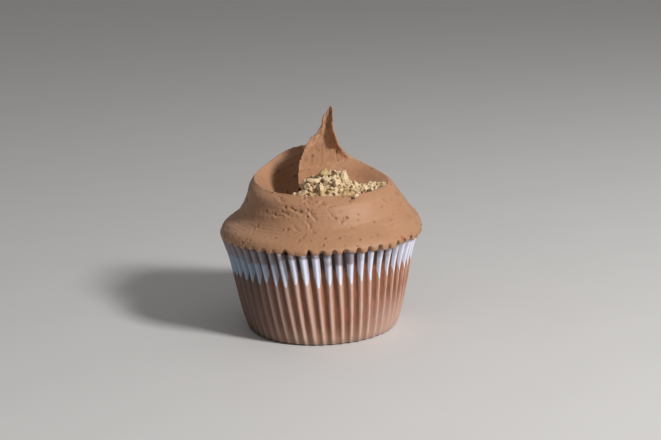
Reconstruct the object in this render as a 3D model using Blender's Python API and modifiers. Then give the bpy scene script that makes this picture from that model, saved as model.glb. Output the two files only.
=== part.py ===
"""A swirled cupcake in its pleated paper case.

Metres, +Z up. The origin is the centre of the flat base, on the surface that the cake
stands on. +X is the cake's right and -Y its front, where the swirl opens.
"""

import math

import bmesh
import bpy

MM = 0.001
GAP = 0.3 * MM  # left between neighbouring pieces

# Paper case: a flat disc whose pleated wall leans outwards.
FLUTES = 54
STEPS_PER_FLUTE = 4
PAPER = 0.4 * MM
CASE_HEIGHT = 31.1 * MM
CASE_WALL = (  # (height, radius on the pleats' crests, depth of the pleats)
    (0.0, 24.3 * MM, 0.0),
    (0.9 * MM, 25.3 * MM, 0.4 * MM),
    (6.0 * MM, 27.0 * MM, 0.7 * MM),
    (18.0 * MM, 29.45 * MM, 1.15 * MM),
    (CASE_HEIGHT, 32.5 * MM, 2.0 * MM),
)
PLEAT_TWIST = 0.07  # radians that the pleats lean round the case between base and rim
DISC_RADIUS = 12.0 * MM

# Sponge: fills the case, with a low dome on top.
SPONGE_EDGE_HEIGHT = 27.5 * MM
SPONGE_DOME = 3.0 * MM
SPONGE_CLEARANCE = 0.6 * MM
SPONGE_STEPS = 48

# Frosting: a skirt that rises from the paper's rim to a lip, which runs round a hollow.
FROSTING_CENTRE = 0.8 * MM  # along X
FROSTING_STEPS = 96
# Radius and height of the skirt's rim to the right, back, left and front, in millimetres.
RIM = ((33.2, 31.5), (33.2, 32.0), (33.6, 32.6), (33.3, 32.8))
# From the rim up to the lip: (share of the way out, share of the way up), in the same four
# directions. The skirt is steep at the front and the left, and flares to the rim below.
SKIRT = (
    ((1.02, 0.1), (0.92, 0.27), (0.67, 0.45), (0.48, 0.61), (0.33, 0.77), (0.18, 0.89)),
    ((1.02, 0.06), (0.92, 0.19), (0.74, 0.33), (0.58, 0.5), (0.38, 0.72), (0.17, 0.92)),
    ((1.03, 0.03), (0.88, 0.18), (0.59, 0.31), (0.37, 0.46), (0.26, 0.65), (0.14, 0.87)),
    ((1.01, 0.06), (0.9, 0.16), (0.68, 0.28), (0.46, 0.43), (0.33, 0.63), (0.24, 0.83)),
)
# The lip's radius and height at twelve directions, turning left from the right-hand side.
LIP_RADIUS = (22.2, 18.8, 13.8, 13.2, 17.4, 20.4, 21.8, 21.6, 20.6, 19.8, 20.2, 21.6)
LIP_HEIGHT = (49.0, 51.9, 56.3, 58.8, 58.0, 53.7, 51.6, 49.6, 48.6, 48.3, 47.9, 47.9)
HOLLOW_RINGS = 8
HOLLOW_HEIGHT = 45.0 * MM  # at the middle of the hollow
HOLLOW_FLAT = 0.3  # share of the lip's radius that is level
HOLLOW_CURVE = 1.7
POCKET = (-10.0 * MM, 3.5 * MM, 7.5 * MM, 5.5 * MM)  # x, y, radius and depth of the deep left side

# Peak: a blade of frosting bent back into a groove. Its left edge stands free in the hollow
# and its right edge runs back into the lip. Each row has its height, the left edge, the
# groove and the right edge in plan, and how thick the blade is behind.
PEAK = (
    (38.0, (-7.6, -6.6), (2.0, 7.5), (14.0, 12.5), 9.5),
    (50.0, (-6.5, -5.2), (3.4, 8.8), (13.4, 12.3), 9.0),
    (54.0, (-6.3, -4.3), (4.0, 9.1), (11.2, 11.4), 7.8),
    (57.0, (-5.5, -3.5), (4.1, 8.8), (8.8, 9.8), 6.4),
    (60.5, (-4.0, -2.4), (3.7, 7.4), (7.0, 5.8), 4.7),
    (62.8, (-2.5, -0.9), (3.4, 6.5), (6.5, 3.2), 3.9),
    (64.4, (0.0, 1.5), (3.1, 5.8), (6.1, 2.1), 3.2),
    (67.6, (1.8, 3.0), (3.2, 5.0), (5.6, 1.9), 2.4),
    (70.4, (3.0, 3.2), (4.2, 4.4), (5.7, 2.6), 1.5),
    (73.3, (4.5, 3.4), (5.0, 3.9), (5.5, 3.2), 0.8),
)
PEAK_SIDES = 20
PEAK_FACE = 0.35  # how far the blade's front bulges from its plan line

# Crumbs: a low uneven heap on the front of the hollow, against the peak.
HEAP_CENTRE = (5.0 * MM, -6.0 * MM)
HEAP_SIZE = (13.6 * MM, 8.0 * MM)  # half its width and half its depth
HEAP_HEIGHT = 8.0 * MM
HEAP_LOW_SIDE = 0.72  # share of its height that the heap loses to the right
BLADE_FOOT = (-7.0 * MM, -7.8 * MM)  # the heap stays in front of a slanting line from here
BLADE_SLANT = 1.4
HEAP_EDGE = 0.6 * MM
HEAP_GAP = 0.45 * MM
HEAP_RINGS = 4
HEAP_STEPS = 26


def material(name, colour, roughness):
    """A plain Principled material."""
    made = bpy.data.materials.new(name)
    made.use_nodes = True
    made.diffuse_color = (*colour, 1.0)
    shader = made.node_tree.nodes["Principled BSDF"]
    shader.inputs["Base Color"].default_value = (*colour, 1.0)
    shader.inputs["Roughness"].default_value = roughness
    shader.inputs["Metallic"].default_value = 0.0
    return made


def new_object(name, bm, collection, finish):
    """An object made from a bmesh, shaded smooth."""
    bmesh.ops.recalc_face_normals(bm, faces=bm.faces)
    mesh = bpy.data.meshes.new(name)
    bm.to_mesh(mesh)
    bm.free()
    mesh.shade_smooth()
    mesh.materials.append(finish)
    made = bpy.data.objects.new(name, mesh)
    collection.objects.link(made)
    return made


def smooth(values, place):
    """Catmull-Rom curve through a closed ring of values, place counting values from the first."""
    low = math.floor(place)
    t = place - low
    a, b, c, d = (values[(low + k) % len(values)] for k in (-1, 0, 1, 2))
    return b + 0.5 * t * (c - a + t * (2 * a - 5 * b + 4 * c - d + t * (3 * (b - c) + d - a)))


def through(first, second, third, place):
    """Smooth curve through three points in plan, place from 0 at the first to 2 at the third."""
    if place <= 1:
        a, b, c, d, t = first, first, second, third, place
    else:
        a, b, c, d, t = first, second, third, third, place - 1
    return [q + 0.5 * t * (r - p + t * (2 * p - 5 * q + 4 * r - s + t * (3 * (q - r) + s - p)))
            for p, q, r, s in zip(a, b, c, d)]


def along(stations, height):
    """The stations' other values at a height, in straight lines between stations."""
    for low, high in zip(stations, stations[1:]):
        if height <= high[0]:
            t = (height - low[0]) / (high[0] - low[0])
            return tuple(a + t * (b - a) for a, b in zip(low[1:], high[1:]))
    return stations[-1][1:]


def ease(t):
    """0 to 1 with level ends."""
    t = min(1.0, max(0.0, t))
    return t * t * (3 - 2 * t)


def loft(bm, rings):
    """Walls between closed rings of equal length, where a ring of one point is a pole."""
    loops = [[bm.verts.new(point) for point in ring] for ring in rings]
    for lower, upper in zip(loops, loops[1:]):
        steps = max(len(lower), len(upper))
        for k in range(steps):
            after = (k + 1) % steps
            if len(lower) == 1:
                bm.faces.new((lower[0], upper[after], upper[k]))
            elif len(upper) == 1:
                bm.faces.new((lower[k], lower[after], upper[0]))
            else:
                bm.faces.new((lower[k], lower[after], upper[after], upper[k]))
    return loops


def turned(steps):
    """The angles of a ring."""
    return [2 * math.pi * k / steps for k in range(steps)]


def paper_case(collection):
    """The pleated case: an open fluted surface that Solidify thickens inwards."""
    steps = FLUTES * STEPS_PER_FLUTE
    rings = [[(DISC_RADIUS * math.cos(a), DISC_RADIUS * math.sin(a), 0.0) for a in turned(steps)]]
    for height, crest, depth in CASE_WALL:
        ring = []
        twist = PLEAT_TWIST * (1 - height / CASE_HEIGHT)
        for a in turned(steps):
            radius = crest - 0.5 * depth * (1 - math.cos(FLUTES * a))
            ring.append((radius * math.cos(a + twist), radius * math.sin(a + twist), height))
        rings.append(ring)
    bm = bmesh.new()
    loops = loft(bm, rings)
    bm.faces.new(loops[0])
    case = new_object("paper_case", bm, collection, material("baking_paper", (0.62, 0.6, 0.66), 0.6))
    wall = case.modifiers.new("Paper", "SOLIDIFY")
    wall.thickness = PAPER
    wall.offset = -1.0
    wall.use_even_offset = False
    return case


def sponge_top(radius):
    """Height of the sponge at a distance from the middle."""
    return SPONGE_EDGE_HEIGHT + SPONGE_DOME * (1 - (radius / CASE_WALL[-1][1]) ** 2)


def inside_case(height):
    """Radius that is clear of the paper at a height."""
    crest, depth = along(CASE_WALL, height)
    return crest - depth - PAPER - SPONGE_CLEARANCE


def sponge_cake(collection):
    """The sponge, turned from the case's own profile."""
    floor = PAPER + GAP
    profile = [(0.0, floor)]
    profile += [(inside_case(max(height, 0.9 * MM)), max(height, floor)) for height in
                (0.0, 6 * MM, 18 * MM, SPONGE_EDGE_HEIGHT)]
    edge = inside_case(SPONGE_EDGE_HEIGHT)
    profile += [(edge * share, sponge_top(edge * share)) for share in (0.97, 0.7, 0.4, 0.0)]
    bm = bmesh.new()
    corners = [bm.verts.new((radius, 0.0, height)) for radius, height in reversed(profile)]
    for first, second in zip(corners, corners[1:]):
        bm.edges.new((first, second))
    sponge = new_object("sponge_cake", bm, collection, material("sponge", (0.5, 0.28, 0.15), 0.9))
    turn = sponge.modifiers.new("Turn", "SCREW")
    turn.steps = turn.render_steps = SPONGE_STEPS
    turn.use_merge_vertices = True
    turn.merge_threshold = 0.00001
    turn.use_smooth_shade = True
    return sponge


def lip(angle):
    """The lip's radius and height in a direction from the frosting's middle."""
    place = angle / (2 * math.pi / len(LIP_RADIUS))
    return smooth(LIP_RADIUS, place) * MM, smooth(LIP_HEIGHT, place) * MM


def hollow(x, y):
    """Height of the hollow's surface at a place inside the lip."""
    across = x - FROSTING_CENTRE
    radius, height = lip(math.atan2(y, across) % (2 * math.pi))
    share = math.hypot(across, y) / radius
    rise = (max(0.0, share - HOLLOW_FLAT) / (1 - HOLLOW_FLAT)) ** HOLLOW_CURVE
    pocket_x, pocket_y, pocket_radius, pocket_depth = POCKET
    near = math.hypot(x - pocket_x, y - pocket_y) / pocket_radius
    pocket = pocket_depth * math.exp(-near * near) * ease((1 - share) / 0.3)
    return HOLLOW_HEIGHT + (height - HOLLOW_HEIGHT) * rise - pocket


def frosting_ring(point_at):
    """A ring of the frosting: point_at gives radius and height for an angle."""
    ring = []
    for a in turned(FROSTING_STEPS):
        radius, height = point_at(a)
        ring.append((FROSTING_CENTRE + radius * math.cos(a), radius * math.sin(a), height))
    return ring


def skirt_point(out, up, angle):
    """Radius and height at shares of the way out and up between the lip and the rim."""
    place = angle / (math.pi / 2)
    rim_radius = smooth([radius for radius, _ in RIM], place) * MM
    rim_height = smooth([height for _, height in RIM], place) * MM
    lip_radius, lip_height = lip(angle)
    return lip_radius + (rim_radius - lip_radius) * out, rim_height + (lip_height - rim_height) * up


def skirt_station(station, angle):
    """Radius and height of a station of the skirt in a direction."""
    place = angle / (math.pi / 2)
    out = smooth([side[station][0] for side in SKIRT], place)
    up = smooth([side[station][1] for side in SKIRT], place)
    return skirt_point(out, up, angle)


def under_ring(share, height=None):
    """A ring of the underside, centred on the case, on the sponge or at a height."""
    edge = inside_case(SPONGE_EDGE_HEIGHT) * share
    level = sponge_top(edge) + GAP if height is None else height
    return [(edge * math.cos(a), edge * math.sin(a), level) for a in turned(FROSTING_STEPS)]


def frosting(collection, helpers):
    """The swirl: a lofted skirt, lip and hollow, with the peak joined on by a union."""
    rim = CASE_HEIGHT + GAP
    rings = [[(0.0, 0.0, sponge_top(0.0) + GAP)], under_ring(0.5), under_ring(0.98), under_ring(1.0, rim)]
    rings.append(frosting_ring(lambda a: skirt_point(1.0, 0.0, a)))
    for station in range(len(SKIRT[0])):
        rings.append(frosting_ring(lambda a: skirt_station(station, a)))
    for step in range(HOLLOW_RINGS):
        share = 1 - step / HOLLOW_RINGS
        ring = []
        for a in turned(FROSTING_STEPS):
            radius = lip(a)[0] * share
            x = FROSTING_CENTRE + radius * math.cos(a)
            y = radius * math.sin(a)
            ring.append((x, y, hollow(x, y)))
        rings.append(ring)
    rings.append([(FROSTING_CENTRE, 0.0, hollow(FROSTING_CENTRE, 0.0))])
    bm = bmesh.new()
    loft(bm, rings)
    swirl = new_object("frosting", bm, collection, material("buttercream", (0.43, 0.22, 0.115), 0.5))
    join = swirl.modifiers.new("Peak", "BOOLEAN")
    join.operation = "UNION"
    join.solver = "EXACT"
    join.object = peak(helpers)
    return swirl


def peak(helpers):
    """The blade, lofted up through bent outlines that shrink to the tip."""
    rings = []
    for height, left, groove, right, thickness in PEAK:
        ring = []
        for a in turned(PEAK_SIDES):
            x, y = through(left, groove, right, 1 + math.cos(a))
            depth = math.sin(a)
            y += depth * (thickness if depth > 0 else PEAK_FACE)
            ring.append((x * MM, y * MM, height * MM))
        rings.append(ring)
    bm = bmesh.new()
    loops = loft(bm, rings)
    bm.faces.new(loops[0])
    bm.faces.new(loops[-1])
    blade = new_object("peak", bm, helpers, material("peak_helper", (0.43, 0.22, 0.115), 0.5))
    blade.hide_render = True
    blade.display_type = "WIRE"
    return blade


def heap_point(share, angle):
    """A place on the heap's plan, whose outline is uneven and stops short of the blade."""
    uneven = 1 + 0.1 * math.sin(3 * angle + 1.0) + 0.07 * math.sin(7 * angle)
    x = HEAP_CENTRE[0] + HEAP_SIZE[0] * uneven * math.cos(angle)
    y = HEAP_CENTRE[1] + HEAP_SIZE[1] * uneven * math.sin(angle)
    y = min(y, BLADE_FOOT[1] + BLADE_SLANT * max(0.0, x - BLADE_FOOT[0]))
    return HEAP_CENTRE[0] + (x - HEAP_CENTRE[0]) * share, HEAP_CENTRE[1] + (y - HEAP_CENTRE[1]) * share


def heap_height(x, y, share):
    """Thickness of the heap, lumpy and lower to the right."""
    lumps = 1 + 0.15 * math.sin(x / (1.3 * MM)) * math.cos(y / (1.1 * MM) + 0.6)
    lower = 1 - HEAP_LOW_SIDE * ease((x - 5 * MM) / (8 * MM))
    return HEAP_EDGE + (HEAP_HEIGHT - HEAP_EDGE) * (1 - share ** 2) * lumps * lower


def crumb_topping(collection):
    """The crumbs as one solid out to the heap's outline, just clear of the hollow."""
    under, over = [], []
    for ring in range(HEAP_RINGS, 0, -1):
        share = ring / HEAP_RINGS
        places = [heap_point(share, a) for a in turned(HEAP_STEPS)]
        under.append([(x, y, hollow(x, y) + HEAP_GAP) for x, y in places])
        over.append([(x, y, hollow(x, y) + HEAP_GAP + heap_height(x, y, share)) for x, y in places])
    x, y = HEAP_CENTRE
    bottom = [(x, y, hollow(x, y) + HEAP_GAP)]
    top = [(x, y, hollow(x, y) + HEAP_GAP + heap_height(x, y, 0.0))]
    bm = bmesh.new()
    loft(bm, [bottom, *reversed(under), *over, top])
    return new_object("crumb_topping", bm, collection, material("crumbs", (0.62, 0.47, 0.29), 0.85))


def main():
    for old in list(bpy.data.objects):
        bpy.data.objects.remove(old)
    parts = bpy.data.collections.new("cupcake")
    helpers = bpy.data.collections.new("helpers")
    bpy.context.scene.collection.children.link(parts)
    bpy.context.scene.collection.children.link(helpers)
    paper_case(parts)
    sponge_cake(parts)
    frosting(parts, helpers)
    crumb_topping(parts)


main()
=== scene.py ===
"""A swirled cupcake in its pleated paper case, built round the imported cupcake."""

import math
import random

import bmesh
import bpy
import numpy as np
from mathutils import Matrix, Vector, noise


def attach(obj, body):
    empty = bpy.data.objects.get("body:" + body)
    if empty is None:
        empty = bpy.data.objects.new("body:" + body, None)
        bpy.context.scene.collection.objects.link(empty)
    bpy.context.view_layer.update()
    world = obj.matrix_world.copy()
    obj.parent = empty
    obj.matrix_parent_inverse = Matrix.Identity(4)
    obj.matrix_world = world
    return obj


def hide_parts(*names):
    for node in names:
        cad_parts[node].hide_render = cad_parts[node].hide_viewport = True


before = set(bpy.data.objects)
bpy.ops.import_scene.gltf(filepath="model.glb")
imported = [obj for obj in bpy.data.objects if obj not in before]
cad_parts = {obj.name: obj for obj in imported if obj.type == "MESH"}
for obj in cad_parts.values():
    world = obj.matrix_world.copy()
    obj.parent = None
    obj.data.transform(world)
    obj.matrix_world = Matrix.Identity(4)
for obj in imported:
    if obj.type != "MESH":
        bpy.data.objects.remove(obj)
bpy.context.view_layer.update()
MM = 0.001


# ---------------------------------------------------------------- paper case
# A sheet of thin greaseproof paper, pressed into a cup with 54 pleats that fade out round
# the flat base. Its top stays dry and white, and the cake's fat stains the rest brown.
# Shade is painted into the colour too: darker paper on the left side and at the foot,
# greyer flanks on the dry pleats, and near-black valleys under the frosting's edge.

FLUTES = 54
STEPS_PER_FLUTE = 10
PAPER_THICKNESS = 0.13 * MM
BASE_RADIUS = 20.0 * MM
CASE_WALL = (  # (height, radius on the pleats' crests, depth of the pleats), in millimetres
    (0.0, 23.4, 0.1),
    (0.25, 24.6, 0.25),
    (1.2, 25.5, 0.5),
    (6.0, 27.0, 0.7),
    (12.0, 28.35, 0.85),
    (18.0, 29.45, 1.15),
    (25.0, 30.75, 1.7),
    (32.6, 33.0, 2.1),
)
PLEAT_TWIST = 0.07  # the pleats lean round the case from base to rim by this many radians
CASE_RINGS = 44


def curve(stations, place):
    """Smooth curve through an open list of equal tuples, place counting from the first."""
    last = len(stations) - 1
    low = min(max(int(place), 0), last - 1)
    t = place - low
    a, b, c, d = (stations[min(max(low + k, 0), last)] for k in (-1, 0, 1, 2))
    return [q + 0.5 * t * (r - p + t * (2 * p - 5 * q + 4 * r - s + t * (3 * (q - r) + s - p)))
            for p, q, r, s in zip(a, b, c, d)]


def uneven(turn, height, scale, seed):
    """Smooth noise round the cake, about -0.5 to 0.5."""
    return noise.noise(Vector((scale * math.cos(turn) + seed, scale * math.sin(turn), height)))


def start_ring(name, points, radius):
    """A new circle in edit mode, which knows each point's direction as its turn."""
    bpy.ops.object.select_all(action="DESELECT")
    bpy.ops.mesh.primitive_circle_add(vertices=points, radius=radius, fill_type="NGON")
    made = bpy.context.object
    made.name = made.data.name = name
    bpy.ops.object.mode_set(mode="EDIT")
    ring = bmesh.from_edit_mesh(made.data)
    turn = ring.verts.layers.float.new("turn")
    for point in ring.verts:
        point[turn] = math.atan2(point.co.y, point.co.x)
    bmesh.update_edit_mesh(made.data)
    return made


def draw_ring(made, place):
    """Extrudes the selected ring of edges and puts each new point where place says."""
    bpy.ops.mesh.extrude_edges_move()
    mesh = bmesh.from_edit_mesh(made.data)
    turn = mesh.verts.layers.float["turn"]
    for point in mesh.verts:
        if point.select:
            point.co = place(point[turn])
    bmesh.update_edit_mesh(made.data)


def finish_edit(made):
    """Leaves edit mode with all faces pointing out and shaded smooth."""
    bpy.ops.mesh.select_all(action="SELECT")
    bpy.ops.mesh.normals_make_consistent(inside=False)
    bpy.ops.object.mode_set(mode="OBJECT")
    bpy.ops.object.shade_smooth()


def apply_modifier(made, kind, **settings):
    """Adds a modifier with these settings and applies it."""
    bpy.context.view_layer.objects.active = made
    modifier = made.modifiers.new(kind.title(), kind)
    for name, value in settings.items():
        setattr(modifier, name, value)
    bpy.ops.object.modifier_apply(modifier=modifier.name)


def pleat(turn, share):
    """How near a direction is to a pleat's crest, from 0 in a valley to 1 on a crest."""
    wander = (0.6 + 0.5 * share) * uneven(turn, 0.9 * share, 7.0, 3.0)
    lean = wander - FLUTES * PLEAT_TWIST * (1 - share)
    wave = 0.5 + 0.5 * math.cos(FLUTES * turn + lean)
    return wave ** (2.0 - 1.3 * share)


def case_point(turn, share):
    """A point of the paper at a share of the way up its wall."""
    height, crest, depth = curve(CASE_WALL, share * (len(CASE_WALL) - 1))
    deep = 1 + 0.55 * uneven(turn, share, 9.0, 11.0)
    loose = 0.5 * uneven(turn, share, 2.0, 21.0) * share
    loose += 0.35 * uneven(turn, share, 14.0, 31.0) * share ** 2
    radius = crest - depth * deep * (1 - pleat(turn, share)) + loose
    ragged = 0.6 * uneven(turn, 0.0, 8.0, 41.0) * max(0.0, share - 0.85) / 0.15
    return Vector((radius * math.cos(turn), radius * math.sin(turn), height + ragged)) * MM


case = start_ring("pleated_case", FLUTES * STEPS_PER_FLUTE, BASE_RADIUS)
for step in range(CASE_RINGS):
    share = (step / (CASE_RINGS - 1)) ** 1.15
    draw_ring(case, lambda turn: case_point(turn, share))
finish_edit(case)
crests = case.data.attributes.new("crest", "FLOAT", "POINT")
heights = [point.co.z / (CASE_WALL[-1][0] * MM) for point in case.data.vertices]
turns = [math.atan2(point.co.y, point.co.x) for point in case.data.vertices]
crests.data.foreach_set("value", [pleat(t, min(h, 1.0)) for t, h in zip(turns, heights)])
apply_modifier(case, "SOLIDIFY", thickness=PAPER_THICKNESS, offset=-1.0)


def add_node(tree, kind, *values, **settings):
    """Adds a node with these settings, and fills its inputs in order with values or sockets."""
    made = tree.nodes.new(kind)
    for name, value in settings.items():
        setattr(made, name, value)
    for socket, value in zip(made.inputs, values):
        if isinstance(value, bpy.types.NodeSocket):
            tree.links.new(value, socket)
        elif value is not None:
            socket.default_value = value
    return made


def sums(tree, operation, *values):
    """A sum of one kind, as a socket."""
    return add_node(tree, "ShaderNodeMath", *values, operation=operation).outputs[0]


def step_between(tree, value, low, high):
    """0 below low and 1 above high, with a soft step between."""
    made = add_node(tree, "ShaderNodeMapRange", value, low, high, 0.0, 1.0,
                    interpolation_type="SMOOTHSTEP")
    return made.outputs[0]


def stained(tree, amount, first, second):
    """The first colour with the second over it by an amount."""
    made = tree.nodes.new("ShaderNodeMix")
    made.data_type = "RGBA"
    for socket, value in zip((made.inputs[0], made.inputs[6], made.inputs[7]), (amount, first, second)):
        if isinstance(value, bpy.types.NodeSocket):
            tree.links.new(value, socket)
        elif isinstance(value, tuple):
            socket.default_value = (*value, 1.0)
        else:
            socket.default_value = value
    return made.outputs[2]


def grain(tree, place, scale, detail=3.0, roughness=0.55):
    """Noise at a place, in grains to the metre."""
    return add_node(tree, "ShaderNodeTexNoise", place, None, scale, detail, roughness).outputs[0]


def new_finish(name, roughness, specular=0.5):
    """A material with its node tree, its shader and the place on the object."""
    finish = bpy.data.materials.new(name)
    finish.use_nodes = True
    tree = finish.node_tree
    shader = tree.nodes["Principled BSDF"]
    shader.inputs["Roughness"].default_value = roughness
    shader.inputs["Specular IOR Level"].default_value = specular
    place = tree.nodes.new("ShaderNodeTexCoord").outputs["Object"]
    return finish, tree, shader, place


def finish_colour(tree, shader, colour, bump=None, strength=0.5, depth=0.0002):
    """Gives the shader its colour and, where there is one, its bump."""
    tree.links.new(colour, shader.inputs["Base Color"])
    if bump is not None:
        made = add_node(tree, "ShaderNodeBump", strength, depth)
        tree.links.new(bump, made.inputs["Height"])
        tree.links.new(made.outputs[0], shader.inputs["Normal"])


def baking_paper():
    """Dry white paper above, and paper stained by fat below, brownest in the valleys, with painted shade on
    the left side, at the foot, on the dry pleats' flanks and in the valleys under the rim.
    """
    finish, tree, shader, place = new_finish("baking_paper", 0.55, 0.35)
    crest = add_node(tree, "ShaderNodeAttribute", attribute_name="crest").outputs["Fac"]
    across, _, height = add_node(tree, "ShaderNodeSeparateXYZ", place).outputs
    # left marks the left side of the case: it shifts the stain levels, and it also darkens the paper there
    # as painted shade.
    left = step_between(tree, across, -4 * MM, -24 * MM)
    right = step_between(tree, across, 8 * MM, 24 * MM)
    blotch = grain(tree, place, 110.0)
    fine = grain(tree, place, 900.0, 4.0)
    level = sums(tree, "MULTIPLY_ADD", blotch, 6 * MM, sums(tree, "ADD", height, -3 * MM))
    level = sums(tree, "MULTIPLY_ADD", left, 1.5 * MM, level)
    tongue = step_between(tree, crest, 0.22, 0.42)
    tip = sums(tree, "MULTIPLY_ADD", crest, 5.0 * MM, level)
    dry = sums(tree, "MULTIPLY", tongue, step_between(tree, tip, 26.0 * MM, 27.0 * MM))
    gap = sums(tree, "SUBTRACT", 1.0, tongue)
    shade = sums(tree, "MULTIPLY", gap, step_between(tree, level, 25.5 * MM, 28.5 * MM))
    patchy = step_between(tree, grain(tree, place, 70.0, 1.0), 0.4, 0.56)
    top = sums(tree, "MULTIPLY", step_between(tree, level, 28.4 * MM, 29.6 * MM), patchy)
    top = sums(tree, "MAXIMUM", top, step_between(tree, level, 30.8 * MM, 31.6 * MM))
    band = sums(tree, "MULTIPLY_ADD", right, -0.6, 0.9)
    foot = step_between(tree, level, 9.0 * MM, 2.0 * MM)
    line = step_between(tree, crest, 0.62, 0.93)
    blot = step_between(tree, grain(tree, place, 190.0, 2.0), 0.42, 0.66)
    fatty_and_shade = stained(tree, tongue, (0.22, 0.085, 0.045), (0.44, 0.25, 0.17))
    fatty_and_shade = stained(tree, sums(tree, "MULTIPLY", blot, 0.7), fatty_and_shade, (0.34, 0.12, 0.06))
    fatty_and_shade = stained(tree, sums(tree, "MULTIPLY", line, 0.8), fatty_and_shade, (0.66, 0.46, 0.42))
    fatty_and_shade = stained(tree, sums(tree, "MULTIPLY", foot, 0.3), fatty_and_shade, (0.66, 0.5, 0.37))
    # Painted shade: the lowest 3 mm of the paper are darkened where the case stands on the table.
    edge = step_between(tree, height, 3.4 * MM, 0.8 * MM)
    fatty_and_shade = stained(tree, sums(tree, "MULTIPLY", edge, 0.5), fatty_and_shade, (0.25, 0.17, 0.13))
    pale_foot = sums(tree, "MULTIPLY", right, step_between(tree, level, 17.0 * MM, 6.0 * MM))
    fatty_and_shade = stained(tree, sums(tree, "MULTIPLY", pale_foot, 0.6), fatty_and_shade, (0.66, 0.46, 0.4))
    # Painted shade: the stained paper is darkened on the left side, away from the light.
    fatty_and_shade = stained(tree, sums(tree, "MULTIPLY", left, 0.9), fatty_and_shade, (0.075, 0.046, 0.038))
    fatty_and_shade = stained(tree, sums(tree, "MULTIPLY", fine, 0.25), fatty_and_shade, (0.34, 0.17, 0.1))
    # Painted shade on the dry paper: bluish grey off the crest lines, whiter on them, and darker and bluer
    # on the left side.
    white = stained(tree, line, (0.5, 0.5, 0.6), (0.76, 0.78, 0.9))
    white = stained(tree, sums(tree, "MULTIPLY", left, 0.8), white, (0.18, 0.27, 0.37))
    # The top band is frosting smeared on and seen through the paper, with painted shade that makes its
    # valleys near black; band makes it fainter on the lit right side, as painted light.
    smear_and_shade = stained(tree, crest, (0.035, 0.013, 0.01), (0.3, 0.25, 0.27))
    shaded = stained(tree, sums(tree, "MULTIPLY", shade, 0.85), fatty_and_shade, (0.035, 0.012, 0.01))
    colour = stained(tree, dry, shaded, white)
    colour = stained(tree, sums(tree, "MULTIPLY", top, band), colour, smear_and_shade)
    finish_colour(tree, shader, colour, fine, 0.25, 0.1 * MM)
    return finish


case.data.materials.append(baking_paper())
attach(case, "root")
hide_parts("paper_case")


# -------------------------------------------------------------------- sponge
# The baked sponge fills the case and is hidden by the paper and the frosting. It keeps its
# plain turned shape, with the open crumb of a sponge.

def open_crumb():
    """Brown sponge whose small pores are painted dark as shade."""
    finish, tree, shader, place = new_finish("open_crumb", 0.9, 0.2)
    cells = add_node(tree, "ShaderNodeTexVoronoi", place, None, 900.0).outputs["Distance"]
    holes = step_between(tree, cells, 0.1, 0.35)
    patches = grain(tree, place, 250.0)
    light = stained(tree, patches, (0.42, 0.2, 0.09), (0.56, 0.31, 0.15))
    # The pores are darkened as painted shade and sunk by the bump.
    finish_colour(tree, shader, stained(tree, holes, (0.2, 0.08, 0.035), light), holes, 0.6, 0.3 * MM)
    return finish


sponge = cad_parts["sponge_cake"]
sponge.data.materials.clear()
sponge.data.materials.append(open_crumb())


# ------------------------------------------------------------------ frosting
# Chocolate buttercream put on with a palette knife: a skirt pressed out over the pleats, a
# lip that runs round a hollow, and a peak where the knife was drawn up and away.

FROSTING_CENTRE = 0.8  # along X, in millimetres like the rest of this section
FROSTING_STEPS = 10 * FLUTES
# The skirt's rim (radius, height) to the right, back, left and front.
RIM = ((33.2, 31.5), (33.2, 32.0), (33.6, 32.6), (33.3, 32.8))
# From the rim up to the lip: (share of the way out, share of the way up), in the same four
# directions. It is steep at the front and the left, and flares to the rim below.
SKIRT = (
    ((1.02, 0.1), (0.92, 0.27), (0.67, 0.45), (0.48, 0.61), (0.33, 0.77), (0.18, 0.89)),
    ((1.02, 0.06), (0.92, 0.19), (0.74, 0.33), (0.58, 0.5), (0.38, 0.72), (0.17, 0.92)),
    ((1.03, 0.03), (0.88, 0.18), (0.59, 0.31), (0.37, 0.46), (0.26, 0.65), (0.14, 0.87)),
    ((1.01, 0.06), (0.89, 0.17), (0.65, 0.29), (0.44, 0.45), (0.33, 0.65), (0.25, 0.85)),
)
# The lip's radius and height at twelve directions, turning left from the right-hand side.
LIP_RADIUS = (22.2, 18.8, 13.8, 13.2, 17.4, 20.4, 21.8, 21.6, 20.6, 19.8, 20.2, 21.6)
LIP_HEIGHT = (49.0, 51.9, 56.3, 58.8, 58.0, 53.7, 51.6, 49.6, 48.6, 48.3, 47.9, 47.9)
# The underside on the sponge, then (radius, height) of its edge inside the paper.
UNDERSIDE_RADIUS = 20.0
UNDERSIDE_HEIGHT = 29.5
UNDERSIDE_EDGE = ((29.6, 29.0), (30.0, 31.5))
SKIRT_RINGS = 44
HOLLOW_RINGS = 34
HOLLOW_HEIGHT = 45.0
HOLLOW_FLAT = 0.3  # share of the hollow that is level
HOLLOW_CURVE = 1.7
POCKET = (-10.0, 3.5, 7.5, 5.5)  # x, y, radius and depth of the deep left side
POCKET_EDGE = 0.3  # share of the way in from the lip over which the pocket fades out
# The teeth that the skirt's edge makes round the pleats.
TOOTH_DROP = 2.3
TOOTH_OUT = 2.2
TOOTH_TURN = 0.015
TOOTH_REACH = 1.2  # in stations of the skirt
RIM_DROOP = 0.4


def round_ring(values, place):
    """Smooth curve through a closed ring of values."""
    low = math.floor(place)
    t = place - low
    a, b, c, d = (values[(low + k) % len(values)] for k in (-1, 0, 1, 2))
    return b + 0.5 * t * (c - a + t * (2 * a - 5 * b + 4 * c - d + t * (3 * (b - c) + d - a)))


def ease(t):
    """0 to 1 with level ends."""
    t = min(1.0, max(0.0, t))
    return t * t * (3 - 2 * t)


def lip(turn):
    """The lip's radius and height in a direction."""
    place = (turn % (2 * math.pi)) / (2 * math.pi / len(LIP_RADIUS))
    return round_ring(LIP_RADIUS, place), round_ring(LIP_HEIGHT, place)


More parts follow.
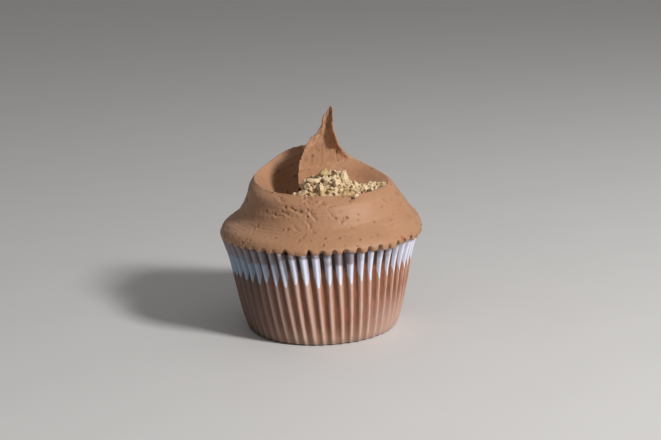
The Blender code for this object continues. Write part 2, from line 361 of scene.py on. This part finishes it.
def hollow(x, y):
    """Height of the hollow's surface."""
    across = x - FROSTING_CENTRE
    radius, height = lip(math.atan2(y, across))
    share = math.hypot(across, y) / radius
    rise = (max(0.0, share - HOLLOW_FLAT) / (1 - HOLLOW_FLAT)) ** HOLLOW_CURVE
    pocket_x, pocket_y, pocket_radius, pocket_depth = POCKET
    near = math.hypot(x - pocket_x, y - pocket_y) / pocket_radius
    pocket = pocket_depth * math.exp(-near * near) * ease((1 - share) / POCKET_EDGE)
    return HOLLOW_HEIGHT + (height - HOLLOW_HEIGHT) * rise - pocket


def skirt_point(turn, share):
    """A point of the skirt, from the teeth on the pleats at 0 to the lip at 1."""
    side = (turn % (2 * math.pi)) / (math.pi / 2)
    rim_radius = round_ring([radius for radius, _ in RIM], side)
    rim_height = round_ring([height for _, height in RIM], side)
    lip_radius, lip_height = lip(turn)
    stations = [(1.0, 0.0)]
    for k in range(len(SKIRT[0])):
        stations.append((round_ring([way[k][0] for way in SKIRT], side),
                         round_ring([way[k][1] for way in SKIRT], side)))
    stations.append((0.0, 1.0))
    out, up = curve(stations, share * (len(stations) - 1))
    radius = lip_radius + (rim_radius - lip_radius) * out
    height = rim_height + (lip_height - rim_height) * up
    notch = (1 - pleat(turn + TOOTH_TURN, 1.0)) ** (2.6 + math.cos(turn))
    notch *= 1 + 1.6 * uneven(turn, 0.0, 17.0, 5.0)
    low = 1 - ease(share * (len(stations) - 1) / TOOTH_REACH)
    height += low * (TOOTH_DROP * notch - RIM_DROOP + 0.8 * uneven(turn, 0.0, 6.0, 9.0))
    radius -= low * TOOTH_OUT * notch
    return Vector((FROSTING_CENTRE + radius * math.cos(turn), radius * math.sin(turn), height)) * MM


def hollow_point(turn, share):
    """A point of the hollow, from its middle at 0 to the lip at 1."""
    radius = lip(turn)[0] * share
    x = FROSTING_CENTRE + radius * math.cos(turn)
    y = radius * math.sin(turn)
    return Vector((x, y, hollow(x, y))) * MM


frosting = start_ring("swirled_frosting", FROSTING_STEPS, UNDERSIDE_RADIUS * MM)
bpy.ops.mesh.select_all(action="SELECT")
bpy.ops.transform.translate(value=(0.0, 0.0, UNDERSIDE_HEIGHT * MM))
for radius, height in UNDERSIDE_EDGE:
    draw_ring(frosting, lambda turn: Vector((radius * math.cos(turn), radius * math.sin(turn), height)) * MM)
for step in range(SKIRT_RINGS):
    draw_ring(frosting, lambda turn: skirt_point(turn, step / SKIRT_RINGS))
for step in range(HOLLOW_RINGS):
    draw_ring(frosting, lambda turn: hollow_point(turn, 1 - step / HOLLOW_RINGS))
bpy.ops.mesh.merge(type="CENTER")
finish_edit(frosting)

# Height, then x and y of the blade's left edge, its groove and its right edge, and how
# thick it is behind.
PEAK = (
    (38.0, -7.6, -6.6, 2.0, 7.5, 14.0, 12.5, 9.5),
    (46.0, -7.0, -6.0, 2.8, 8.2, 14.0, 12.5, 9.5),
    (50.0, -6.5, -5.2, 3.4, 8.8, 13.4, 12.3, 9.0),
    (53.0, -6.4, -4.6, 3.8, 9.1, 12.0, 11.8, 8.2),
    (55.0, -6.2, -4.0, 4.1, 9.1, 10.4, 11.0, 7.4),
    (57.0, -5.5, -3.5, 4.1, 8.8, 8.8, 9.8, 6.4),
    (58.8, -4.7, -3.0, 3.9, 8.2, 7.7, 8.0, 5.4),
    (60.5, -4.0, -2.4, 3.8, 7.1, 7.0, 5.8, 4.7),
    (62.2, -2.9, -1.3, 3.5, 6.0, 6.6, 3.8, 4.0),
    (63.6, -1.8, -0.2, 3.5, 5.0, 6.4, 2.6, 3.6),
    (64.4, 0.0, 1.5, 3.4, 4.7, 6.1, 2.1, 3.2),
    (66.0, 1.0, 2.6, 3.5, 4.3, 5.8, 1.8, 2.9),
    (67.6, 1.8, 3.0, 3.7, 4.1, 5.6, 1.9, 2.4),
    (69.6, 2.3, 3.2, 4.1, 4.2, 5.6, 2.3, 1.8),
    (71.4, 3.9, 3.3, 4.7, 4.2, 5.7, 2.9, 1.2),
    (73.3, 4.5, 3.4, 5.0, 3.9, 5.5, 3.2, 0.8),
)
BLADE_FACE = 0.35  # how far the blade's face bulges
# What stands out on the blade's face, or is cut into it where it is negative: how far, its
# place across from 0 to 2, its width, where it begins, is full, starts to fade and ends.
BLADE_RIBS = (
    (0.9, 1.74, 0.22, 58.0, 61.0, 90.0, 91.0),
    (1.2, 0.5, 0.28, 58.0, 62.0, 67.5, 69.5),
    (-1.3, 0.27, 0.09, 60.5, 62.5, 65.0, 67.0),
)
PEAK_POINTS = 96
PEAK_RINGS = 90


def peak_point(turn, share):
    """A point of the blade, which is bent back into a groove and has a full back."""
    place = share * (len(PEAK) - 1)
    height, left_x, left_y, groove_x, groove_y, right_x, right_y, thick = curve(PEAK, place)
    across = 1 + math.cos(turn)
    x, y = curve(((left_x, left_y), (groove_x, groove_y), (right_x, right_y)), across)
    side = math.sin(turn)
    y += (thick if side > 0 else BLADE_FACE) * side
    if side < 0:
        for out, middle, width, start, full, fading, end in BLADE_RIBS:
            shown = ease((height - start) / (full - start)) * ease((end - height) / (end - fading))
            y -= out * shown * math.exp(-((across - middle) / width) ** 2)
    nick = 0.6 * noise.noise(Vector((across, 2.3 * height, 7.0))) * (1 - abs(side))
    nick *= ease((height - 52) / 8)
    return Vector((x + nick, y, height)) * MM


peak = start_ring("peak", PEAK_POINTS, 1 * MM)
bpy.ops.mesh.select_all(action="SELECT")
bpy.ops.mesh.delete(type="ONLY_FACE")
bpy.ops.mesh.select_all(action="SELECT")
bottom = bmesh.from_edit_mesh(peak.data)
turn_layer = bottom.verts.layers.float["turn"]
for point in bottom.verts:
    point.co = peak_point(point[turn_layer], 0.0)
bmesh.update_edit_mesh(peak.data)
bpy.ops.mesh.edge_face_add()
for step in range(1, PEAK_RINGS + 1):
    draw_ring(peak, lambda turn: peak_point(turn, step / PEAK_RINGS))
bpy.ops.mesh.edge_face_add()
finish_edit(peak)

VOXEL = 0.32
frosting.select_set(True)
peak.select_set(True)
bpy.context.view_layer.objects.active = frosting
bpy.ops.object.join()
apply_modifier(frosting, "REMESH", mode="VOXEL", voxel_size=VOXEL * MM, use_smooth_shade=True)
apply_modifier(frosting, "SMOOTH", factor=0.5, iterations=3)

# Knife marks: (x, height, length, slope, depth) of the torn streaks on the front.
FRONT_STREAKS = (
    (0.0, 46.5, 8.0, -0.28, 0.42),
    (-6.0, 47.4, 2.4, -0.6, 0.36),
    (-10.2, 44.6, 6.4, -0.26, 0.52),
    (-12.4, 43.2, 3.2, -0.5, 0.42),
    (-16.0, 42.6, 2.6, -0.15, 0.4),
    (-15.6, 47.4, 3.0, -0.4, 0.34),
    (-3.2, 42.8, 3.4, -1.3, 0.4),
    (-4.6, 40.4, 2.0, -1.6, 0.3),
    (-2.2, 38.6, 1.6, 0.3, 0.3),
    (-8.5, 39.2, 2.0, -0.5, 0.3),
    (-6.0, 37.0, 1.8, 0.8, 0.25),
    (2.8, 43.4, 1.8, -1.0, 0.28),
    (6.6, 40.8, 1.2, 0.9, 0.3),
    (9.4, 38.8, 1.0, -0.6, 0.3),
    (11.5, 46.8, 1.6, 0.0, 0.3),
    (-20.5, 34.6, 1.2, 0.6, 0.45),
    (-21.0, 38.4, 1.6, 0.2, 0.3),
    (-20.0, 49.2, 1.6, 0.5, 0.3),
    (22.5, 44.6, 2.4, -1.1, 0.3),
)
OTHER_STREAKS = 26
STREAK_WIDTH = 0.3
STREAK_RADIUS = 27.0  # the skirt's radius where the front's streaks lie
AIR_HOLES = 360
SHOWN_ABOVE = 32.5  # only what lies higher or farther out than this is worked
SHOWN_OUTSIDE = 31.8
BLADE_ABOVE = 53.0  # the blade is what lies higher and nearer in than this
BLADE_WITHIN = 14.0
KEPT_FACES = 0.66
random.seed(7)


def streaks():
    """All streaks as direction, height, length, slope and depth."""
    made = [(-math.pi / 2 + math.asin(x / STREAK_RADIUS), height, length, slope, depth)
            for x, height, length, slope, depth in FRONT_STREAKS]
    for _ in range(OTHER_STREAKS):
        made.append((random.uniform(-0.35, 3.5), random.uniform(34.0, 50.0), random.uniform(1.2, 5.5),
                     random.uniform(-0.7, 0.2), random.uniform(0.18, 0.42)))
    return made


def torn(run, off, length, seed):
    """How deep a torn streak is cut at a point, and how high its lower edge is pushed up."""
    wander = 0.45 * noise.noise(Vector((0.9 * run, seed, 0.0)))
    wander += 0.2 * noise.noise(Vector((3.0 * run, seed, 5.0)))
    off += wander
    strength = 0.55 + 0.9 * noise.noise(Vector((1.3 * run, seed, 9.0)))
    past = max(abs(run) - length / 2, 0.0) / 0.4
    strength = min(max(strength, 0.0), 1.0) * math.exp(-past ** 2)
    width = STREAK_WIDTH * (0.8 + 0.8 * strength)
    cut = strength * math.exp(-(off / width) ** 2)
    edge = strength * math.exp(-((off + 1.8 * width) / width) ** 2)
    return cut, edge


def grooves(turn, radius, height):
    """How far the knife's fine drag lines and broad strokes lift the surface."""
    inside = radius < lip(turn)[0]
    run = height + radius if inside else height - radius
    around = Vector((1.6 * math.cos(turn), 1.6 * math.sin(turn), 0.0))
    broad = noise.noise(around + Vector((0, 0, 0.16 * run)))
    lines = noise.noise(around * 1.4 + Vector((5, 0, 1.5 * run)))
    patch = ease(0.5 + 1.6 * noise.noise(around * 2.0 + Vector((0, 9, 0.2 * run))))
    return 0.42 * broad + 0.13 * lines * patch


def work_surface():
    """Moves each point of the frosting along its normal by the marks left in it, and records how dark to
    paint each pit, cut and knife line as shade.
    """
    mesh = frosting.data
    count = len(mesh.vertices)
    place = np.zeros(count * 3)
    normal = np.zeros(count * 3)
    mesh.vertices.foreach_get("co", place)
    mesh.vertices.foreach_get("normal", normal)
    place = place.reshape(-1, 3) / MM
    normal = normal.reshape(-1, 3)
    across = place[:, 0] - FROSTING_CENTRE
    turns = np.arctan2(place[:, 1], across)
    radii = np.hypot(across, place[:, 1])
    lift = np.zeros(count)
    hole_shade = np.zeros(count)
    shown = (place[:, 2] > SHOWN_ABOVE) | (radii > SHOWN_OUTSIDE)
    for k in np.nonzero(shown)[0]:
        x, y, z = place[k]
        if z > BLADE_ABOVE and radii[k] < BLADE_WITHIN:
            lift[k] = 0.25 * noise.noise(Vector((1.3 * x, 1.3 * y, 0.16 * z)))
            lift[k] += 0.2 * noise.noise(Vector((0.5 * x, 0.5 * y, 0.3 * z + 4)))
            line = math.exp(-(noise.noise(Vector((0.55 * x, 0.55 * y, 0.09 * z))) / 0.13) ** 2)
            line *= ease(0.4 + 2.0 * noise.noise(Vector((0.3 * x, 0.3 * y, 0.35 * z + 8))))
            lift[k] -= 0.4 * line
            hole_shade[k] = 0.45 * line
        else:
            lift[k] = grooves(turns[k], radii[k], z)
        lift[k] += 0.07 * noise.noise(Vector((0.9 * x, 0.9 * y, 0.9 * z)))
    for turn, height, length, slope, depth in streaks():
        along = (np.mod(turns - turn + math.pi, 2 * math.pi) - math.pi) * radii
        up = place[:, 2] - height
        size = math.hypot(1.0, slope)
        run = (along + up * slope) / size
        off = (up - along * slope) / size
        near = (np.abs(run) < length / 2 + 1.0) & (np.abs(off) < 1.6) & shown & (radii > 12.0)
        for k in np.nonzero(near)[0]:
            cut, edge = torn(run[k], off[k], length, 10 * turn)
            lift[k] += depth * (0.6 * edge - 1.3 * cut)
            hole_shade[k] = max(hole_shade[k], 0.5 * cut)
    picked = np.random.default_rng(11).permutation(np.nonzero(shown)[0])[:AIR_HOLES]
    for k in picked:
        size = 0.2 + 0.3 * random.random() ** 2.5
        near = np.nonzero(np.abs(place - place[k]).max(1) < 3 * size)[0]
        far = np.linalg.norm(place[near] - place[k], axis=1) / size
        pit = np.exp(-far ** 2)
        lift[near] -= 0.75 * size * pit
        lift[near] += 0.22 * size * np.exp(-((far - 1.6) / 0.5) ** 2)
        hole_shade[near] = np.maximum(hole_shade[near], pit)
    place += normal * lift[:, None]
    mesh.vertices.foreach_set("co", (place * MM).ravel())
    mesh.attributes.new("hole_shade", "FLOAT", "POINT").data.foreach_set("value", hole_shade)
    mesh.update()


work_surface()
apply_modifier(frosting, "DECIMATE", ratio=KEPT_FACES)

CARAMEL = (25.2 * MM, -20.6 * MM, 33.2 * MM)  # a bit of baked-on sugar that shows at the rim


def buttercream():
    """Light milk chocolate buttercream."""
    finish, tree, shader, place = new_finish("buttercream", 0.58, 0.45)
    cloud = grain(tree, place, 150.0, 4.0)
    fine = grain(tree, place, 900.0, 4.0)
    colour = stained(tree, cloud, (0.375, 0.192, 0.098), (0.46, 0.252, 0.142))
    colour = stained(tree, sums(tree, "MULTIPLY", fine, 0.25), colour, (0.33, 0.15, 0.07))
    hole_shade = add_node(tree, "ShaderNodeAttribute", attribute_name="hole_shade").outputs["Fac"]
    # Painted shade: air holes, torn cuts and knife lines are darkened.
    colour = stained(tree, sums(tree, "MULTIPLY", hole_shade, 0.75), colour, (0.16, 0.06, 0.03))
    caramel = add_node(tree, "ShaderNodeVectorMath", place, CARAMEL, operation="DISTANCE")
    near = step_between(tree, caramel.outputs["Value"], 2.0 * MM, 1.0 * MM)
    colour = stained(tree, near, colour, (0.3, 0.05, 0.015))
    cells = add_node(tree, "ShaderNodeTexVoronoi", place, None, 420.0)
    chance = add_node(tree, "ShaderNodeSeparateColor", cells.outputs["Color"]).outputs[0]
    size = sums(tree, "MULTIPLY", step_between(tree, chance, 0.62, 1.0), 0.13)
    speck = sums(tree, "LESS_THAN", cells.outputs["Distance"], size)
    colour = stained(tree, sums(tree, "MULTIPLY", speck, 0.6), colour, (0.17, 0.065, 0.03))
    shader.inputs["Sheen Weight"].default_value = 0.12
    shader.inputs["Sheen Roughness"].default_value = 0.5
    shader.inputs["Subsurface Weight"].default_value = 0.1
    shader.inputs["Subsurface Radius"].default_value = (0.6, 0.3, 0.15)
    shader.inputs["Subsurface Scale"].default_value = 1.5 * MM
    finish_colour(tree, shader, colour, fine, 0.3, 0.14 * MM)
    return finish


frosting.data.materials.append(buttercream())
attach(frosting, "root")
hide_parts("frosting")


# -------------------------------------------------------------------- crumbs
# Crushed biscuit, spooned into the front of the hollow against the peak. The pale crumbs
# lie on a low bed of finer ones, in all sizes down to dust.

HEAP_CENTRE = (5.0, -6.0)  # x and y in millimetres, like the rest of this section
HEAP_SIZE = (14.2, 8.2)
HEAP_HEIGHT = 8.0
HEAP_EDGE = 0.5
HEAP_LOW_SIDE = 0.72  # how much lower the heap is to the right, from LOW_FROM over LOW_RUN
LOW_FROM = 5
LOW_RUN = 8
BLADE_FOOT = (-7.0, -7.8)  # where the blade's left edge meets the heap
BLADE_SLANT = 1.4
BED_DROP = 0.9  # the bed lies this far under the heap's outline
BED_RINGS = 14
BED_POINTS = 72
CRUMB_SIZES = (  # (how many, smallest, largest, subdivisions)
    (9, 4.4, 6.2, 4),
    (40, 2.8, 4.4, 3),
    (320, 1.5, 2.6, 2),
    (700, 0.6, 1.3, 1),
)
STRAYS = [  # (x, y, height, size, subdivisions) of crumbs that fell beside the heap
    (11.6, -19.6, 48.0, 2.0, 3),
    (33.5, -4.6, 33.9, 1.0, 2),
    (21.5, -6.0, 48.6, 1.8, 3),
    (-9.6, -13.5, 46.2, 1.8, 3),
]
CRUMB_STRETCH = ((0.75, 1.25), (0.7, 1.1), (0.55, 0.9))  # (least, most) along each axis
CRUMB_FLATS = 9
CRUMB_KINDS = 6
TRIES = 40  # for a free place for each crumb
random.seed(21)


def heap_outline(turn):
    """The heap's uneven outline, as a share of its size."""
    return 1 + 0.1 * math.sin(3 * turn + 1.0) + 0.07 * math.sin(7 * turn)


def heap_share(x, y):
    """0 at the heap's middle and 1 at its outline."""
    across = (x - HEAP_CENTRE[0]) / HEAP_SIZE[0]
    deep = (y - HEAP_CENTRE[1]) / HEAP_SIZE[1]
    return math.hypot(across, deep) / heap_outline(math.atan2(deep, across))


def heap_top(x, y):
    """Height of the heap's top, which is lower to the right."""
    share = min(1.0, heap_share(x, y))
    lumps = 1 + 0.35 * noise.noise(Vector((0.3 * x, 0.3 * y, 2.0)))
    lower = 1 - HEAP_LOW_SIDE * ease((x - LOW_FROM) / LOW_RUN)
    return hollow(x, y) + HEAP_EDGE + (HEAP_HEIGHT - HEAP_EDGE) * (1 - share ** 2) * lumps * lower


def blade_front(x):
    """The farthest back that the heap reaches, where it leans on the blade."""
    return BLADE_FOOT[1] + BLADE_SLANT * max(0.0, x - BLADE_FOOT[0])


def bed_point(turn, share):
    """A point of the bed, from its edge at 0 to its middle at 1."""
    out = (1 - share) * heap_outline(turn)
    x = HEAP_CENTRE[0] + HEAP_SIZE[0] * out * math.cos(turn)
    y = min(HEAP_CENTRE[1] + HEAP_SIZE[1] * out * math.sin(turn), blade_front(x))
    relief = 0.5 * noise.noise(Vector((1.5 * x, 1.5 * y, 0.0)))
    return Vector((x, y, heap_top(x, y) - BED_DROP + relief)) * MM


def crumb_shape(divisions, seed):
    """One broken crumb, 1 across: a ball with flats broken off and a rough open surface."""
    bpy.ops.object.select_all(action="DESELECT")
    bpy.ops.mesh.primitive_ico_sphere_add(subdivisions=divisions, radius=0.5)
    made = bpy.context.object
    draw = random.Random(seed)
    flats = [(Vector([draw.gauss(0, 1) for _ in range(3)]).normalized(), draw.uniform(0.2, 0.4))
             for _ in range(CRUMB_FLATS)]
    for point in made.data.vertices:
        for facing, reach in flats:
            over = point.co.dot(facing) - reach
            if over > 0:
                point.co -= facing * over
        rough = noise.noise(point.co * 4.0 + Vector((seed, 0, 0))) + 0.45 * noise.noise(point.co * 11.0)
        point.co *= 1 + 0.45 * rough
    shape = made.data
    bpy.data.objects.remove(made)
    return shape


def scatter():
    """Places for the crumbs, large ones first: (x, y, height, size, divisions)."""
    made = []
    for count, smallest, largest, divisions in CRUMB_SIZES:
        for _ in range(count):
            for _ in range(TRIES):
                x = random.gauss(HEAP_CENTRE[0], 0.52 * HEAP_SIZE[0])
                y = random.gauss(HEAP_CENTRE[1], 0.55 * HEAP_SIZE[1])
                size = random.uniform(smallest, largest) * (1 - 0.35 * ease((x - 8) / 8))
                clear = all(math.hypot(x - a, y - b) > 0.22 * (size + c)
                            for a, b, _, c, _ in made if c > 1.5)
                if heap_share(x, y) < 1.04 and y < blade_front(x) + 0.5 and (clear or size < 1.5):
                    break
            else:
                continue
            raised = size * random.uniform(0.0, 0.2)
            level = heap_top(x, y) - BED_DROP + raised + random.uniform(0.0, 0.8)
            made.append((x, y, level, size, divisions))
    return made + STRAYS


def all_crumbs():
    """Every crumb in one mesh, each with its own tone."""
    shapes = {d: [crumb_shape(d, 10 * d + k) for k in range(CRUMB_KINDS)] for d in (1, 2, 3, 4)}
    points, faces, tones = [], [], []
    for x, y, level, size, divisions in scatter():
        shape = random.choice(shapes[divisions])
        spin = Matrix.Rotation(random.uniform(0, 6.28), 3, [random.gauss(0, 1) for _ in range(3)])
        stretch = Matrix.Diagonal([random.uniform(least, most) for least, most in CRUMB_STRETCH])
        turned = spin @ stretch * size
        tone = random.random()
        first = len(points)
        points += [(turned @ v.co + Vector((x, y, level))) * MM for v in shape.vertices]
        faces += [[first + k for k in face.vertices] for face in shape.polygons]
        tones += [tone] * len(shape.vertices)
    mesh = bpy.data.meshes.new("crushed_crumbs")
    mesh.from_pydata(points, [], faces)
    mesh.attributes.new("tone", "FLOAT", "POINT").data.foreach_set("value", tones)
    made = bpy.data.objects.new("crushed_crumbs", mesh)
    bpy.context.scene.collection.objects.link(made)
    mesh.shade_smooth()
    return made


def biscuit(name, dark):
    """Pale biscuit with browner crumbs among it."""
    finish, tree, shader, place = new_finish(name, 0.85, 0.2)
    tone = add_node(tree, "ShaderNodeAttribute", attribute_name="tone").outputs["Fac"]
    patch = grain(tree, place, 700.0, 4.0)
    pale = stained(tree, patch, (0.6, 0.45, 0.27), (0.8, 0.65, 0.44))
    golden = step_between(tree, tone, 0.76, 0.8)
    brown = step_between(tree, tone, 0.94, 0.96)
    colour = stained(tree, golden, pale, (0.54, 0.38, 0.2))
    colour = stained(tree, brown, colour, (0.16, 0.08, 0.04))
    colour = stained(tree, dark, colour, (0.2, 0.1, 0.045))
    finish_colour(tree, shader, colour, patch, 0.5, 0.15 * MM)
    return finish


bed = start_ring("crumb_bed", BED_POINTS, 1 * MM)
bed_mesh = bmesh.from_edit_mesh(bed.data)
bed_turn = bed_mesh.verts.layers.float["turn"]
for point in bed_mesh.verts:
    point.co = bed_point(point[bed_turn], 0.0) - Vector((0, 0, 0.8 * MM))
bmesh.update_edit_mesh(bed.data)
for step in range(BED_RINGS):
    draw_ring(bed, lambda turn: bed_point(turn, step / BED_RINGS))
bpy.ops.mesh.merge(type="CENTER")
finish_edit(bed)
bed.data.materials.append(biscuit("fine_crumbs", 0.08))
crumbs = all_crumbs()
crumbs.data.materials.append(biscuit("biscuit_crumbs", 0.0))
for piece in (bed, crumbs):
    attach(piece, "root")
    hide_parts("crumb_topping")


# ---------------------------------------------------------------------- stage
# A plain pale table top, one soft light from the front right under a dim even sky, and the
# camera a little above the cake, tilted down at it.

bpy.ops.object.select_all(action="DESELECT")
bpy.ops.mesh.primitive_plane_add(size=8.0, location=(0.0, 2.0, 0.0))
table = bpy.context.object
table.name = "table"
bpy.ops.object.transform_apply(location=True, rotation=True, scale=True)
finish, tree, shader, place = new_finish("pale_table", 0.6, 0.3)
tint = stained(tree, grain(tree, place, 30.0), (0.64, 0.645, 0.65), (0.67, 0.675, 0.68))
finish_colour(tree, shader, tint)
table.data.materials.append(finish)


def soft_light(name, place, target, size, power, colour):
    """A square area light that faces a target."""
    lamp = bpy.data.lights.new(name, "AREA")
    lamp.size = size
    lamp.energy = power
    lamp.color = colour
    made = bpy.data.objects.new(name, lamp)
    made.location = place
    made.rotation_euler = (Vector(target) - Vector(place)).to_track_quat("-Z", "Y").to_euler()
    bpy.context.scene.collection.objects.link(made)


soft_light("key", (0.58, -0.52, 0.55), (0.0, 0.0, 0.04), 0.15, 8.6, (1.0, 0.97, 0.94))
world = bpy.data.worlds.new("studio")
world.use_nodes = True
sky = world.node_tree
direction = sky.nodes.new("ShaderNodeTexCoord").outputs["Generated"]
up = add_node(sky, "ShaderNodeSeparateXYZ", direction).outputs[2]
glow = stained(sky, step_between(sky, up, 0.0, 0.9), (0.045, 0.06, 0.085), (0.34, 0.32, 0.3))
sky.links.new(glow, sky.nodes["Background"].inputs[0])
sky.nodes["Background"].inputs[1].default_value = 1.0
bpy.context.scene.world = world
bpy.context.scene.view_settings.view_transform = "Standard"

VIEW_DISTANCE = 0.450
VIEW_ELEVATION = math.radians(18.06)
VIEW_PITCH = math.radians(13.665)
VIEW_YAW = math.radians(-0.49)
VIEW_ROLL = math.radians(-2.0)
lens = bpy.data.cameras.new("camera")
lens.lens = 72.0
lens.sensor_width = 36.0
camera = bpy.data.objects.new("camera", lens)
turned = (Matrix.Rotation(VIEW_YAW, 4, "Z") @ Matrix.Rotation(math.pi / 2 - VIEW_PITCH, 4, "X")
          @ Matrix.Rotation(VIEW_ROLL, 4, "Z"))
stand = Vector((0.0, -math.cos(VIEW_ELEVATION), math.sin(VIEW_ELEVATION))) * VIEW_DISTANCE
camera.matrix_world = Matrix.Translation(stand) @ turned
bpy.context.scene.collection.objects.link(camera)
bpy.context.scene.camera = camera

bpy.context.view_layer.update()
